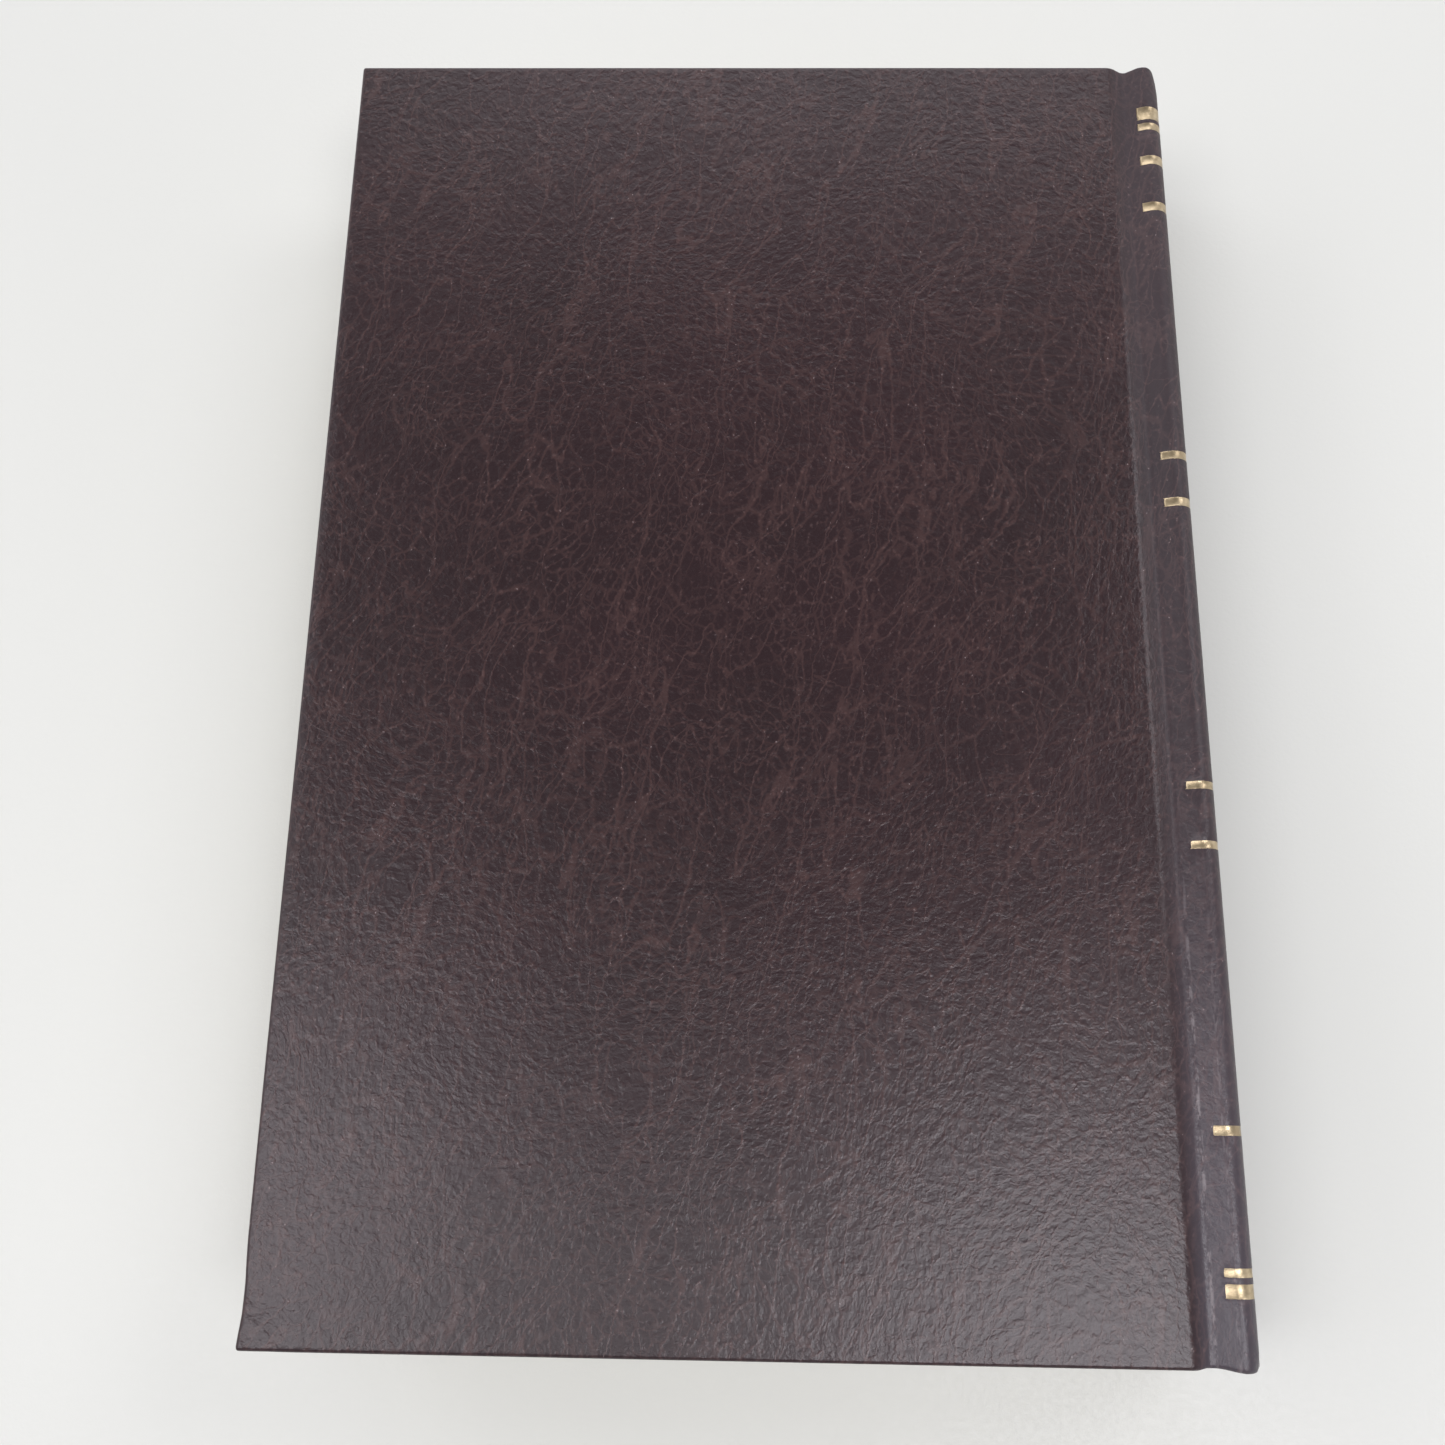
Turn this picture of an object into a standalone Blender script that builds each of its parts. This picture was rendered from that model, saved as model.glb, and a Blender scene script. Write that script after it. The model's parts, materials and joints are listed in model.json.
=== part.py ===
"""Case-bound prayer book lying closed on its front cover, back cover up.

Frame: origin on the table under the middle of the book, +X towards the spine, +Y towards the
head, +Z up. Lengths are in metres. A section of the book is drawn with u, the distance from the
fore edge, and h, the height above the middle of the book's thickness. The front half is the back
half turned over, so most pieces are drawn once for side +1 (back) and once for side -1 (front).
"""

import math

import bmesh
import bpy
from mathutils import Vector

# Outer size of the bound book
BOOK_WIDTH = 0.1598        # fore edge to the crown of the spine
BOOK_HEIGHT = 0.235        # head to tail over the covers
BOOK_THICKNESS = 0.040     # over both covers

# Covers
BOARD_THICKNESS = 0.0025
LEATHER_THICKNESS = 0.0005
TURN_IN_THICKNESS = 0.0004
TURN_IN_WIDTH = 0.015
PAPER_THICKNESS = 0.0002
COVER_WIDTH = 0.14795      # fore edge to the end of the cover beside the joint
LAYER_GAP = 0.0002         # glue line between touching layers
EDGE_ROUNDING = 0.0008
EDGE_ROUNDING_STEPS = 2
LIP_DEPTH = 0.0017         # how far the leather runs down the board beside the joint

# Round back and French joint
SPINE_RADIUS = 0.0385      # over the gold lines
LIP_RADIUS = 0.0014        # where the back rolls over the shoulder
GROOVE_U = 0.1491
GROOVE_RADIUS = 0.0009
GROOVE_CENTRE_DEPTH = 0.0007
JOINT_SPLIT = 0.50         # share of the groove's far slope that bends with the cover
SPINE_START = 0.56         # share of that slope where the spine leather begins
JOINT_START = math.radians(-122)
ARC_STEPS = 12
LIP_STEPS = 3
GROOVE_STEPS = 4

# Depths below the top of the gold, measured square to the back
GOLD = (0.0, 0.00015)
SPINE_LEATHER = (0.0003, 0.0008)
INLAY = (0.00095, 0.00155)
LINING = (0.00185, 0.0021)
MULL = (0.0022, 0.0024)
FOLDS_DEPTH = 0.00255
INLAY_ANGLE = math.radians(28.0)
LINING_ANGLE = math.radians(29.0)
MULL_ANGLE = math.radians(29.5)
INLAY_HEIGHT = 0.2336
LINING_HEIGHT = 0.226
MULL_HEIGHT = 0.200

# Text block
PAGE_HEIGHT = 0.229
PAGE_BLOCK_HALF = 0.0153   # half the thickness of the leaves
SHOULDER_HALF = 0.0184     # half the thickness over the backed shoulders
GATHERINGS = 16
GATHERING_GAP = 0.00015
FORE_SQUARE = 0.0035       # cover beyond the leaves at the fore edge
LEAVES_END = 0.1473        # where the leaves meet the sewn folds
FOLDS_START = 0.1476
FOLD_NOTCH = 0.0004
FOLD_NOTCH_ANGLE = math.radians(0.25)
FLYLEAF_FORE = 0.0038
FLYLEAF_END = 0.1470
FLYLEAF_GAP = 0.00015

# Endbands
BAND_RADIUS = 0.0010
BAND_PATH_RADIUS = 0.0350
BAND_ANGLE = math.radians(27.0)
BAND_GAP = 0.0002
BAND_SIDES = 8

# Gold lines across the spine: distance of the middle from the tail, and width
GOLD_LINES = (
    (0.2242, 0.0027),
    (0.2212, 0.0014),
    (0.2137, 0.0018),
    (0.2035, 0.0017),
    (0.1520, 0.0014),
    (0.1429, 0.0015),
    (0.0912, 0.0012),
    (0.0810, 0.0012),
    (0.0352, 0.0014),
    (0.0141, 0.0012),
    (0.0114, 0.0020),
)
GOLD_START = 0.62          # share of the groove's far slope left bare before the gold

# Hinge line of each cover, just outside its shoulder
HINGE_U = 0.1506
HINGE_OUTSIDE = 0.00025

# Gatherings that turn with each cover, counted from that cover
TURNING_GATHERINGS = 5

# Angles between faces that are shaded smooth, and the size of the hinge markers
SMOOTH_ANGLE = math.radians(35)
BAND_SMOOTH_ANGLE = math.radians(50)
MARKER_SIZE = 0.01

HALF = BOOK_THICKNESS / 2
SPINE_CENTRE_U = BOOK_WIDTH - SPINE_RADIUS
SIDES = (("back", 1), ("front", -1))


def clear_scene():
    for item in list(bpy.data.objects):
        bpy.data.objects.remove(item, do_unlink=True)


def make_material(name, color, roughness, metallic=0.0):
    material = bpy.data.materials.new(name)
    material.use_nodes = True
    shader = material.node_tree.nodes["Principled BSDF"]
    shader.inputs["Base Color"].default_value = (*color, 1.0)
    shader.inputs["Roughness"].default_value = roughness
    shader.inputs["Metallic"].default_value = metallic
    material.diffuse_color = (*color, 1.0)
    return material


def make_materials():
    return {
        "leatherette": make_material("leatherette", (0.045, 0.026, 0.028), 0.5),
        "greyboard": make_material("greyboard", (0.30, 0.28, 0.25), 0.95),
        "endpaper": make_material("endpaper", (0.80, 0.76, 0.66), 0.9),
        "page_paper": make_material("page_paper", (0.84, 0.80, 0.70), 0.9),
        "sewn_folds": make_material("sewn_folds", (0.76, 0.71, 0.60), 0.9),
        "mull": make_material("mull", (0.85, 0.84, 0.80), 0.95),
        "lining_paper": make_material("lining_paper", (0.52, 0.40, 0.26), 0.9),
        "card": make_material("card", (0.40, 0.36, 0.31), 0.95),
        "endband_cloth": make_material("endband_cloth", (0.70, 0.60, 0.38), 0.7),
        "gold_foil": make_material("gold_foil", (0.78, 0.58, 0.26), 0.3, 1.0),
    }


def make_empty(name, location):
    empty = bpy.data.objects.new(name, None)
    empty.empty_display_size = MARKER_SIZE
    empty.location = location
    bpy.context.collection.objects.link(empty)
    return empty


def world_point(u, y, h):
    return Vector((u - BOOK_WIDTH / 2, y, HALF + h))


def finish_mesh(name, bm, material, parent, smooth_angle=None):
    """Close the bmesh into an object whose origin is its parent's."""
    bmesh.ops.recalc_face_normals(bm, faces=bm.faces)
    mesh = bpy.data.meshes.new(name)
    bm.to_mesh(mesh)
    bm.free()
    mesh.materials.append(material)
    if smooth_angle is not None:
        mesh.shade_smooth()
        mesh.set_sharp_from_angle(angle=smooth_angle)
    item = bpy.data.objects.new(name, mesh)
    item.parent = parent
    bpy.context.collection.objects.link(item)
    return item


def prism(name, outline, height, material, parent, middle=0.0, smooth_angle=None):
    """Extrude a section outline of (u, h) points along the height of the book."""
    bm = bmesh.new()
    low = middle - height / 2
    corners = [bm.verts.new(world_point(u, low, h) - parent.location) for u, h in outline]
    face = bm.faces.new(corners)
    grown = bmesh.ops.extrude_face_region(bm, geom=[face])["geom"]
    moved = [element for element in grown if isinstance(element, bmesh.types.BMVert)]
    bmesh.ops.translate(bm, vec=(0, height, 0), verts=moved)
    return finish_mesh(name, bm, material, parent, smooth_angle)


def block(name, u_range, height, h_range, material, parent):
    (u_low, u_high), (h_low, h_high) = u_range, h_range
    outline = [(u_low, h_low), (u_high, h_low), (u_high, h_high), (u_low, h_high)]
    return prism(name, outline, height, material, parent)


def add_cutter(target, name, u_range, height, h_range, material, parent):
    cutter = block(name, u_range, height, h_range, material, parent)
    cutter.hide_render = True
    cutter.display_type = "WIRE"
    cut = target.modifiers.new(name, "BOOLEAN")
    cut.operation = "DIFFERENCE"
    cut.solver = "EXACT"
    cut.object = cutter


def layer(side, outer_depth, inner_depth):
    """Heights of a flat layer between two depths below a cover's outer face."""
    return tuple(sorted((side * (HALF - outer_depth), side * (HALF - inner_depth))))


BOARD_TOP = LEATHER_THICKNESS + LAYER_GAP
BOARD_BOTTOM = BOARD_TOP + BOARD_THICKNESS
TURN_IN_TOP = BOARD_BOTTOM + LAYER_GAP
TURN_IN_BOTTOM = TURN_IN_TOP + TURN_IN_THICKNESS
PASTEDOWN_TOP = TURN_IN_BOTTOM + LAYER_GAP
PASTEDOWN_BOTTOM = PASTEDOWN_TOP + PAPER_THICKNESS


def make_cover_leather(side_name, side, materials, parent):
    """Leatherette wrapped over the board and turned in at the fore edge, head and tail."""
    leather = materials["leatherette"]
    skin = block(f"{side_name}_cover_leather", (0.0, COVER_WIDTH), BOOK_HEIGHT,
                 layer(side, 0.0, TURN_IN_BOTTOM), leather, parent)
    rounding = skin.modifiers.new("rounded_edges", "BEVEL")
    rounding.width = EDGE_ROUNDING
    rounding.segments = EDGE_ROUNDING_STEPS
    past = COVER_WIDTH + LAYER_GAP
    cavity_height = BOOK_HEIGHT - 2 * LEATHER_THICKNESS
    add_cutter(skin, f"{side_name}_board_cavity",
               (LEATHER_THICKNESS, COVER_WIDTH - LEATHER_THICKNESS), cavity_height,
               layer(side, LEATHER_THICKNESS, TURN_IN_TOP), leather, parent)
    add_cutter(skin, f"{side_name}_turn_in_window", (TURN_IN_WIDTH, past),
               BOOK_HEIGHT - 2 * TURN_IN_WIDTH, layer(side, BOARD_BOTTOM, PASTEDOWN_BOTTOM),
               leather, parent)
    add_cutter(skin, f"{side_name}_open_board_edge", (COVER_WIDTH - 2 * LEATHER_THICKNESS, past),
               cavity_height, layer(side, LIP_DEPTH, TURN_IN_TOP), leather, parent)


def make_board(side_name, side, materials, parent):
    inset = LEATHER_THICKNESS + LAYER_GAP
    block(f"{side_name}_board", (inset, COVER_WIDTH - inset), BOOK_HEIGHT - 2 * inset,
          layer(side, BOARD_TOP, BOARD_BOTTOM), materials["greyboard"], parent)


def make_pastedown(side_name, side, materials, parent):
    """Paper over the turn-ins that dips onto the board inside them."""
    dip = BOARD_BOTTOM + LAYER_GAP - PASTEDOWN_TOP
    step = PAPER_THICKNESS
    fore, end = FLYLEAF_FORE, FLYLEAF_END
    half = PAGE_HEIGHT / 2
    inner_u = (TURN_IN_WIDTH + LAYER_GAP, end - LAYER_GAP)
    inner_half = BOOK_HEIGHT / 2 - TURN_IN_WIDTH - LAYER_GAP

    def ring(bm, inset, depth):
        u_low = fore if inset is None else inner_u[0] + inset
        u_high = end if inset is None else inner_u[1] - inset
        y_far = half if inset is None else inner_half - inset
        corners = [(u_low, -y_far), (u_high, -y_far), (u_high, y_far), (u_low, y_far)]
        height = side * (HALF - depth)
        return [bm.verts.new(world_point(u, y, height) - parent.location) for u, y in corners]

    bm = bmesh.new()
    rings = (
        ring(bm, 0.0, PASTEDOWN_TOP + dip),
        ring(bm, 0.0, PASTEDOWN_TOP),
        ring(bm, None, PASTEDOWN_TOP),
        ring(bm, None, PASTEDOWN_BOTTOM),
        ring(bm, step, PASTEDOWN_BOTTOM),
        ring(bm, step, PASTEDOWN_BOTTOM + dip),
    )
    bm.faces.new(rings[0])
    for near, far in zip(rings, rings[1:]):
        for here in range(4):
            there = (here + 1) % 4
            bm.faces.new((near[here], near[there], far[there], far[here]))
    bm.faces.new(reversed(rings[-1]))
    finish_mesh(f"{side_name}_pastedown", bm, materials["endpaper"], parent)


def make_flyleaf(side_name, side, materials, parent):
    top = PASTEDOWN_BOTTOM + FLYLEAF_GAP
    block(f"{side_name}_flyleaf", (FLYLEAF_FORE, FLYLEAF_END), PAGE_HEIGHT,
          layer(side, top, top + PAPER_THICKNESS), materials["endpaper"], parent)


def circle_point(centre, radius, angle):
    return (centre[0] + radius * math.cos(angle), centre[1] + radius * math.sin(angle))


def between(start, end, share):
    return tuple(a + (b - a) * share for a, b in zip(start, end))


LIP_CENTRE_H = HALF - LIP_RADIUS
LIP_CENTRE_REACH = math.sqrt((SPINE_RADIUS - LIP_RADIUS) ** 2 - LIP_CENTRE_H ** 2)
LIP_CENTRE = (SPINE_CENTRE_U + LIP_CENTRE_REACH, LIP_CENTRE_H)
GROOVE_CENTRE = (GROOVE_U, HALF - GROOVE_CENTRE_DEPTH)
BACK_ANGLE = math.atan2(LIP_CENTRE_H, LIP_CENTRE_REACH)


def slope_angle():
    """Angle of the straight that touches the groove from above and the shoulder from below."""
    along = LIP_CENTRE[0] - GROOVE_CENTRE[0]
    rise = LIP_CENTRE[1] - GROOVE_CENTRE[1]
    distance = math.hypot(along, rise)
    return math.atan2(rise, along) + math.asin((LIP_RADIUS + GROOVE_RADIUS) / distance)


SLOPE = slope_angle()


def slope_ends(depth):
    groove_end = circle_point(GROOVE_CENTRE, GROOVE_RADIUS + depth, SLOPE - math.pi / 2)
    lip_end = circle_point(LIP_CENTRE, LIP_RADIUS - depth, SLOPE + math.pi / 2)
    return groove_end, lip_end


def spine_curve(depth, share):
    """The back at one depth, from the far slope of one groove round to the other."""
    groove_end, lip_end = slope_ends(depth)
    upper = [between(groove_end, lip_end, share)]
    lip_turn = SLOPE + math.pi / 2 - BACK_ANGLE
    for step in range(LIP_STEPS):
        angle = SLOPE + math.pi / 2 - lip_turn * step / LIP_STEPS
        upper.append(circle_point(LIP_CENTRE, LIP_RADIUS - depth, angle))
    lower = [(u, -h) for u, h in reversed(upper)]
    return upper + arc_curve(depth, BACK_ANGLE) + lower


def arc_curve(depth, half_angle):
    """The round of the back at one depth, from high to low."""
    centre = (SPINE_CENTRE_U, 0.0)
    angles = [half_angle * (1 - 2 * step / ARC_STEPS) for step in range(ARC_STEPS + 1)]
    return [circle_point(centre, SPINE_RADIUS - depth, angle) for angle in angles]


def shell(outer, inner):
    return outer + list(reversed(inner))


def make_spine_leather(materials, parent):
    outer, inner = (spine_curve(depth, SPINE_START) for depth in SPINE_LEATHER)
    prism("spine_leather", shell(outer, inner), BOOK_HEIGHT, materials["leatherette"], parent,
          smooth_angle=SMOOTH_ANGLE)


def make_joint_leather(side_name, side, materials, parent):
    """The strip of leatherette in the groove, which bends when the cover opens."""
    curves = []
    for depth in SPINE_LEATHER:
        radius = GROOVE_RADIUS + depth
        end_angle = SLOPE - math.pi / 2
        angles = [JOINT_START + (end_angle - JOINT_START) * step / GROOVE_STEPS
                  for step in range(GROOVE_STEPS + 1)]
        curve = [circle_point(GROOVE_CENTRE, radius, angle) for angle in angles]
        curve.append(between(*slope_ends(depth), JOINT_SPLIT))
        curves.append([(u, side * h) for u, h in curve])
    prism(f"{side_name}_joint_leather", shell(*curves), BOOK_HEIGHT, materials["leatherette"],
          parent, smooth_angle=SMOOTH_ANGLE)


def make_gold_lines(materials, parent):
    outer, inner = (spine_curve(depth, GOLD_START) for depth in GOLD)
    for number, (from_tail, width) in enumerate(GOLD_LINES, start=1):
        prism(f"gold_line_{number:02d}", shell(outer, inner), width, materials["gold_foil"],
              parent, middle=from_tail - BOOK_HEIGHT / 2, smooth_angle=SMOOTH_ANGLE)


def make_back_layer(name, depths, half_angle, height, material, parent):
    outer, inner = (arc_curve(depth, half_angle) for depth in depths)
    prism(name, shell(outer, inner), height, material, parent, smooth_angle=SMOOTH_ANGLE)


def folds_radius():
    return SPINE_RADIUS - FOLDS_DEPTH


def back_reach(share):
    """Distance of the folds from the centre of the round at a share of the shoulder height."""
    return math.sqrt(folds_radius() ** 2 - (share * SHOULDER_HALF) ** 2)


def gathering_share(edge):
    """Edge number 0 to 16 through the block, as -1 at the front to +1 at the back."""
    return 2 * edge / GATHERINGS - 1


def fore_edge_u(share):
    return FORE_SQUARE + back_reach(share) - back_reach(1.0)


def make_sewn_folds(materials, parent):
    """Folded backs of all the gatherings, sewn, glued, rounded and backed into shoulders."""
    centre = (SPINE_CENTRE_U, 0.0)
    outline = [(FOLDS_START, -PAGE_BLOCK_HALF)]
    for edge in range(GATHERINGS + 1):
        angle = math.asin(gathering_share(edge) * SHOULDER_HALF / folds_radius())
        if edge > 0:
            outline.append(circle_point(centre, folds_radius(), angle - FOLD_NOTCH_ANGLE))
        if 0 < edge < GATHERINGS:
            outline.append(circle_point(centre, folds_radius() - FOLD_NOTCH, angle))
        if edge < GATHERINGS:
            outline.append(circle_point(centre, folds_radius(), angle + FOLD_NOTCH_ANGLE))
    outline.append((FOLDS_START, PAGE_BLOCK_HALF))
    prism("sewn_folds", outline, PAGE_HEIGHT, materials["sewn_folds"], parent)


def make_gathering(number, materials, parent):
    low, high = (gathering_share(edge) for edge in (number - 1, number))
    h_low = low * PAGE_BLOCK_HALF + GATHERING_GAP / 2
    h_high = high * PAGE_BLOCK_HALF - GATHERING_GAP / 2
    middle = (low + high) / 2
    outline = [
        (fore_edge_u(low), h_low),
        (LEAVES_END, h_low),
        (LEAVES_END, h_high),
        (fore_edge_u(high), h_high),
        (fore_edge_u(middle), (h_low + h_high) / 2),
    ]
    prism(f"gathering_{number:02d}", outline, PAGE_HEIGHT, materials["page_paper"], parent)


def make_endband(name, end, materials, parent):
    """A worked cord across one end of the folds, following the round of the back."""
    centre_y = end * (PAGE_HEIGHT / 2 + BAND_RADIUS + BAND_GAP)
    bm = bmesh.new()
    rings = []
    for step in range(ARC_STEPS + 1):
        turn = BAND_ANGLE * (1 - 2 * step / ARC_STEPS)
        corners = []
        for corner in range(BAND_SIDES):
            around = 2 * math.pi * corner / BAND_SIDES
            radius = BAND_PATH_RADIUS + BAND_RADIUS * math.cos(around)
            u, h = circle_point((SPINE_CENTRE_U, 0.0), radius, turn)
            y = centre_y + BAND_RADIUS * math.sin(around)
            corners.append(bm.verts.new(world_point(u, y, h) - parent.location))
        rings.append(corners)
    for near, far in zip(rings, rings[1:]):
        for here in range(BAND_SIDES):
            there = (here + 1) % BAND_SIDES
            bm.faces.new((near[here], near[there], far[there], far[here]))
    bm.faces.new(rings[0])
    bm.faces.new(reversed(rings[-1]))
    finish_mesh(name, bm, materials["endband_cloth"], parent, BAND_SMOOTH_ANGLE)


def gathering_parent(number, text_block, hinges):
    if number <= TURNING_GATHERINGS:
        return hinges["front"]
    if number > GATHERINGS - TURNING_GATHERINGS:
        return hinges["back"]
    return text_block


def build_book():
    clear_scene()
    materials = make_materials()
    text_block = make_empty("text_block", (0.0, 0.0, 0.0))
    hinges = {}
    for side_name, side in SIDES:
        hinge_point = world_point(HINGE_U, 0.0, side * (HALF + HINGE_OUTSIDE))
        hinges[side_name] = make_empty(f"{side_name}_hinge_line", hinge_point)
    for side_name, side in SIDES:
        hinge = hinges[side_name]
        make_cover_leather(side_name, side, materials, hinge)
        make_board(side_name, side, materials, hinge)
        make_pastedown(side_name, side, materials, hinge)
        make_flyleaf(side_name, side, materials, hinge)
        make_joint_leather(side_name, side, materials, text_block)
    for number in range(1, GATHERINGS + 1):
        make_gathering(number, materials, gathering_parent(number, text_block, hinges))
    make_sewn_folds(materials, text_block)
    make_back_layer("mull", MULL, MULL_ANGLE, MULL_HEIGHT, materials["mull"], text_block)
    make_back_layer("spine_lining", LINING, LINING_ANGLE, LINING_HEIGHT,
                    materials["lining_paper"], text_block)
    make_back_layer("spine_inlay_card", INLAY, INLAY_ANGLE, INLAY_HEIGHT, materials["card"],
                    text_block)
    make_spine_leather(materials, text_block)
    make_gold_lines(materials, text_block)
    make_endband("head_band", 1, materials, text_block)
    make_endband("tail_band", -1, materials, text_block)


build_book()
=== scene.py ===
import json
import math

import bpy
import numpy as np
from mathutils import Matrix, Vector, noise

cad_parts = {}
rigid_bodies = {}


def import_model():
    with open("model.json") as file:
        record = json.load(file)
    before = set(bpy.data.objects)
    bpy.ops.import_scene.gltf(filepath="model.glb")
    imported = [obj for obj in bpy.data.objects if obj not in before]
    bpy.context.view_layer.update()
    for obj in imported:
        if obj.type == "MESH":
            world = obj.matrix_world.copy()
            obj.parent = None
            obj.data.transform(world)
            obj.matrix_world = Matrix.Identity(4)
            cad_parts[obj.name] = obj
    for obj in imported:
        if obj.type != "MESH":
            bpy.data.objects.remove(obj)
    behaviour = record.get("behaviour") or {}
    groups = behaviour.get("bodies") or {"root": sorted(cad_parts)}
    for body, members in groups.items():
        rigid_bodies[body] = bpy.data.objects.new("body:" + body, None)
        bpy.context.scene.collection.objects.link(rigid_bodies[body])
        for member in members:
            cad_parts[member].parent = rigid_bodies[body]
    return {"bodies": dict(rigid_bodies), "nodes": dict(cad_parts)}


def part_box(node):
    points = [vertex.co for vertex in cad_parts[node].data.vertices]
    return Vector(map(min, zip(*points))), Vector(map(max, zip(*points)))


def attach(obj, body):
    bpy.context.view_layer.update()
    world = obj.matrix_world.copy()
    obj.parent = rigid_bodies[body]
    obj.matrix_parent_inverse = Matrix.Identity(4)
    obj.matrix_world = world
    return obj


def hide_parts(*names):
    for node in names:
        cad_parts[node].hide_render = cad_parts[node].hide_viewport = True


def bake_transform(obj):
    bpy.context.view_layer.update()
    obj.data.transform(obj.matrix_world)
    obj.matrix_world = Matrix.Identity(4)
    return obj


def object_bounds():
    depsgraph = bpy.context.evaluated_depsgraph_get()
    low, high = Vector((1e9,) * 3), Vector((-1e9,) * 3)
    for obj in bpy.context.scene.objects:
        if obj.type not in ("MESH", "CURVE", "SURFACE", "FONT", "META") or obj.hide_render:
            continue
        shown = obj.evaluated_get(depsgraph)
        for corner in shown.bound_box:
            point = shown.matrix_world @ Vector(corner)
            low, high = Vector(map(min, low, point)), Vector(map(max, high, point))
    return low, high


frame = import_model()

cadLow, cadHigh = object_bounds()
mm = 0.001

# ---------------------------------------------------------------- book sizes
coverLow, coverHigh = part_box("back_cover_leather")
foreX = coverLow[0]                    # fore edge of the covers
headY = coverHigh[1]
tailY = coverLow[1]
topZ = coverHigh[2]                    # outer face of the back cover
midZ = topZ / 2                        # middle of the book's thickness
crownX = cadHigh[0]                    # furthest point of the round back
bookHeight = headY - tailY

section = {
    "cornerRadius": 0.55 * mm,         # rounding of the board edges
    "boardEnd": 148.9 * mm,            # where the cover stops beside the joint
    "boardEndRadius": 3.4 * mm,
    "boardEndAngle": math.radians(70),
    "grooveStart": math.radians(-110),
    "grooveU": 149.1 * mm,
    "grooveDepth": 0.95 * mm,
    "grooveRadius": 2.1 * mm,
    "lipU": 153.45 * mm,
    "lipRadius": 2.7 * mm,
    "lipRise": 0.28 * mm,              # crest of the shoulder over the cover
    "flankSlope": 0.30,                # how fast the back swells out below the shoulder
    "crownU": 159.7 * mm,
    "skew": 0.5 * mm,                  # the back leans this much, in at the head, out at the tail
    "seamHeight": 15.4 * mm,           # where the cover's leather meets the spine's
}

def announce(stage):
    print(f"[prayer book] {stage}")


def circlePoint(centre, radius, angle):
    return (centre[0] + radius * math.cos(angle), centre[1] + radius * math.sin(angle))


def arcPoints(centre, radius, start, end, steps):
    return [circlePoint(centre, radius, start + (end - start) * k / steps) for k in range(steps + 1)]


def linePoints(start, end, steps):
    return [tuple(a + (b - a) * k / steps for a, b in zip(start, end)) for k in range(1, steps)]


# ---------------------------------------------------------------- node helpers
def newMaterial(name):
    material = bpy.data.materials.new(name)
    material.use_nodes = True
    tree = material.node_tree
    shader = tree.nodes["Principled BSDF"]
    return material, tree, shader


def addNode(tree, kind, **values):
    node = tree.nodes.new(kind)
    for key, value in values.items():
        if hasattr(node, key):
            setattr(node, key, value)
        else:
            node.inputs[key.replace("_", " ")].default_value = value
    return node


def link(tree, source, target):
    tree.links.new(source, target)


def place(tree, stored=True):
    # rest position of every point, so that the grain stays put when the book opens
    if stored:
        node = addNode(tree, "ShaderNodeAttribute", attribute_name="restPlace")
        return node.outputs["Vector"]
    return addNode(tree, "ShaderNodeTexCoord").outputs["Object"]


def mapping(tree, source, scale=(1, 1, 1), turn=(0, 0, 0), shift=(0, 0, 0)):
    node = addNode(tree, "ShaderNodeMapping")
    node.inputs["Scale"].default_value = scale
    node.inputs["Rotation"].default_value = turn
    node.inputs["Location"].default_value = shift
    link(tree, source, node.inputs["Vector"])
    return node.outputs["Vector"]


def noiseField(tree, source, scale, detail=3.0, roughness=0.5, distortion=0.0, colour=False):
    node = addNode(tree, "ShaderNodeTexNoise")
    node.inputs["Scale"].default_value = scale
    node.inputs["Detail"].default_value = detail
    node.inputs["Roughness"].default_value = roughness
    node.inputs["Distortion"].default_value = distortion
    link(tree, source, node.inputs["Vector"])
    return node.outputs["Color" if colour else "Fac"]


def voronoi(tree, source, scale, feature="F1", randomness=1.0, smooth=None):
    node = addNode(tree, "ShaderNodeTexVoronoi", feature=feature)
    node.inputs["Scale"].default_value = scale
    node.inputs["Randomness"].default_value = randomness
    if smooth is not None:
        node.inputs["Smoothness"].default_value = smooth
    link(tree, source, node.inputs["Vector"])
    return node.outputs["Distance"]


def ramp(tree, source, low, high, fromValue=0.0, toValue=1.0, smooth=True):
    node = addNode(tree, "ShaderNodeMapRange")
    node.interpolation_type = "SMOOTHSTEP" if smooth else "LINEAR"
    node.inputs["From Min"].default_value = low
    node.inputs["From Max"].default_value = high
    node.inputs["To Min"].default_value = fromValue
    node.inputs["To Max"].default_value = toValue
    link(tree, source, node.inputs["Value"])
    return node.outputs["Result"]


def maths(tree, operation, first, second=None):
    node = addNode(tree, "ShaderNodeMath", operation=operation)
    for socket, value in zip(node.inputs, (first, second)):
        if value is None:
            continue
        if isinstance(value, (int, float)):
            socket.default_value = value
        else:
            link(tree, value, socket)
    return node.outputs[0]


def mixColour(tree, share, first, second, blend="MIX"):
    node = addNode(tree, "ShaderNodeMix", data_type="RGBA", blend_type=blend)
    for index, value in ((0, share), (6, first), (7, second)):
        socket = node.inputs[index]
        if isinstance(value, (int, float)):
            socket.default_value = value
        elif isinstance(value, tuple):
            socket.default_value = (*value, 1.0)
        else:
            link(tree, value, socket)
    return node.outputs[2]


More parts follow.
